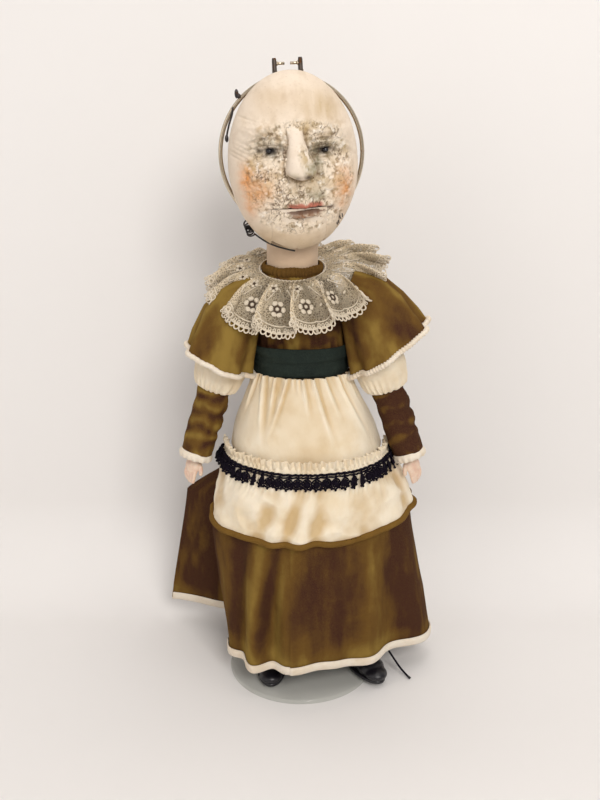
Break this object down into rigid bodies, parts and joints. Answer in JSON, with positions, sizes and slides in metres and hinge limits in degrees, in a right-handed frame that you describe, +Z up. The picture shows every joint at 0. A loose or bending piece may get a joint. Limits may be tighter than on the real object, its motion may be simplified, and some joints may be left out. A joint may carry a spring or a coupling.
{
  "type": "ventriloquist dummy",
  "caption": "Dressed lady ventriloquist dummy with a hinged jaw, nodding and turning head, swinging limbs, lace collar, apron and long skirt, on a clear display stand",
  "frame": {"origin": "centre of the stand disc's underside, where it rests on a table", "axes": "+Z up, the dummy faces -Y, +X is the dummy's own left"},
  "size_m": [0.2911, 0.1747, 0.6405],
  "materials": {
    "clear_acrylic": "clear, polished edge",
    "steel": "plain steel rod and screws",
    "nickel_wire": "nickel-plated, a little rust",
    "dark_wire": "dark iron wire",
    "plaster": "matt painted composition, crackled",
    "eye_black": "glossy bead",
    "neck_cloth": "pale cloth over wood",
    "wood": "plain turned wood",
    "card": "moulded paper board",
    "brown_velvet": "cotton velvet",
    "green_velvet": "velvet ribbon",
    "white_trim": "woven bias binding",
    "ecru_lace": "embroidered net",
    "cream_cotton": "light cotton lawn",
    "black_lace": "crocheted cotton",
    "porcelain": "pale bisque",
    "black_leather": "worn black leather",
    "brass": "plain brass",
    "string": "waxed thread"
  },
  "bodies": {
    "stand": {"stand_base": "clear_acrylic", "stand_post": "steel", "post_flange": "steel", "flange_screws": "steel", "post_collar": "steel"},
    "torso": {"torso_shell": "card", "pelvis_block": "wood", "hip_pins": "steel", "shoulder_pins": "steel", "neck_socket": "wood", "bodice": "brown_velvet", "neckband": "brown_velvet", "lace_collar": "ecru_lace", "sash": "green_velvet", "skirt": "brown_velvet", "skirt_hem": "white_trim", "apron": "cream_cotton", "flounce": "cream_cotton", "black_lace": "black_lace"},
    "stick": {"neck": "neck_cloth", "head_stick": "wood", "lever_pin": "steel", "jaw_cord": "string"},
    "lever": {"jaw_lever": "brass"},
    "head": {"face_shell": "plaster", "nose": "plaster", "eyes": "eye_black", "head_board": "wood", "neck_bracket": "wood", "nod_pin": "steel", "back_shell": "card", "hoop": "nickel_wire", "hoop_lugs": "nickel_wire", "tie_wires": "dark_wire", "jaw_axle": "steel", "jaw_spring": "steel"},
    "jaw": {"jaw": "plaster"},
    "upper_arm_left": {"upper_arm_left": "wood", "puff_left": "cream_cotton", "cape_left": "brown_velvet"},
    "forearm_left": {"forearm_left": "wood", "sleeve_left": "brown_velvet", "cuff_left": "cream_cotton", "hand_left": "porcelain"},
    "leg_left": {"thigh_left": "wood", "shin_left": "wood", "boot_left": "black_leather", "boot_sole_left": "black_leather", "boot_lace": "black_leather"},
    "upper_arm_right": {"upper_arm_right": "wood", "puff_right": "cream_cotton", "cape_right": "brown_velvet"},
    "forearm_right": {"forearm_right": "wood", "sleeve_right": "brown_velvet", "cuff_right": "cream_cotton", "hand_right": "porcelain"},
    "leg_right": {"thigh_right": "wood", "shin_right": "wood", "boot_right": "black_leather", "boot_sole_right": "black_leather"}
  },
  "joints": [
    {"name": "stand_lift", "type": "slide", "parent": "stand", "child": "torso", "axis": [0, 0, 1], "range_m": [0, 0.32]},
    {"name": "head_turn", "type": "hinge", "parent": "torso", "child": "stick", "pos_m": [-0.0085, 0.01, 0.438], "axis": [0, 0, 1], "range_deg": [-50, 50]},
    {"name": "head_nod", "type": "hinge", "parent": "stick", "child": "head", "pos_m": [-0.0085, 0.01, 0.488], "axis": [0.9916, 0.1218, 0.0436], "range_deg": [-6, 8]},
    {"name": "jaw_open", "type": "hinge", "parent": "head", "child": "jaw", "pos_m": [-0.00612, -0.02799, 0.53995], "axis": [0.9916, 0.1218, 0.0436], "range_deg": [0, 10], "stiffness_Nm_per_rad": 0.06, "springref_deg": -28.65, "deforming": ["jaw_cord"]},
    {"name": "jaw_lever", "type": "hinge", "parent": "stick", "child": "lever", "pos_m": [-0.0085, 0.005, 0.382], "axis": [1, 0, 0], "range_deg": [-12, 0]},
    {"name": "shoulder_left", "type": "hinge", "parent": "torso", "child": "upper_arm_left", "pos_m": [0.058, -0.006, 0.412], "axis": [-1, 0, 0], "range_deg": [-10, 30]},
    {"name": "elbow_left", "type": "hinge", "parent": "upper_arm_left", "child": "forearm_left", "pos_m": [0.088, -0.006, 0.322], "axis": [-1, 0, 0], "range_deg": [0, 30]},
    {"name": "hip_left", "type": "hinge", "parent": "torso", "child": "leg_left", "pos_m": [0.032, 0, 0.252], "axis": [-1, 0, 0], "range_deg": [0, 6]},
    {"name": "shoulder_right", "type": "hinge", "parent": "torso", "child": "upper_arm_right", "pos_m": [-0.058, -0.006, 0.412], "axis": [-1, 0, 0], "range_deg": [-10, 30]},
    {"name": "elbow_right", "type": "hinge", "parent": "upper_arm_right", "child": "forearm_right", "pos_m": [-0.088, -0.006, 0.322], "axis": [-1, 0, 0], "range_deg": [0, 30]},
    {"name": "hip_right", "type": "hinge", "parent": "torso", "child": "leg_right", "pos_m": [-0.032, 0, 0.252], "axis": [-1, 0, 0], "range_deg": [0, 6]}
  ],
  "couplings": [
    {"joint": "jaw_lever", "follows": "jaw_open", "ratio": -1.2}
  ]
}
